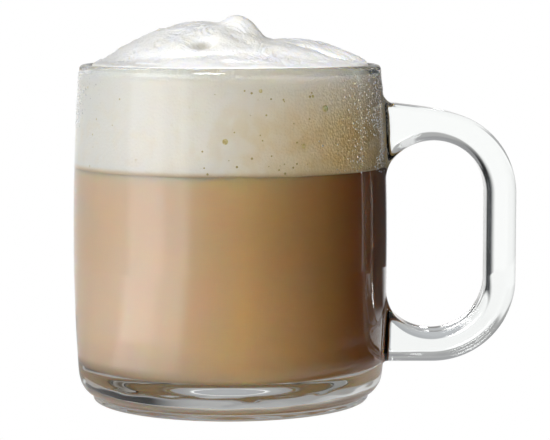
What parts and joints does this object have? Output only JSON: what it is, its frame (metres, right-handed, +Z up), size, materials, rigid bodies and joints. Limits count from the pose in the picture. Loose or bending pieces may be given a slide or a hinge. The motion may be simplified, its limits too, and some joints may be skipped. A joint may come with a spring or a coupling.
{
  "type": "latte in a glass mug",
  "caption": "Clear pressed-glass mug with a rounded loop handle, filled with milky coffee under a deep layer of milk foam that domes over the rim in soft mounds.",
  "frame": {"origin": "middle of the mug's underside, on the table and on the mug's axis", "axes": "+Z up along the mug's axis, +X from the axis through the handle, +Y to the back of the pictured view"},
  "size_m": [0.1187, 0.0844, 0.103],
  "materials": {
    "clear_glass": "fire-polished clear pressed glass",
    "milk_coffee": null,
    "milk_foam": null
  },
  "bodies": {
    "root": {"glass_mug": "clear_glass", "milk_coffee": "milk_coffee", "foam_head": "milk_foam"}
  },
  "joints": []
}
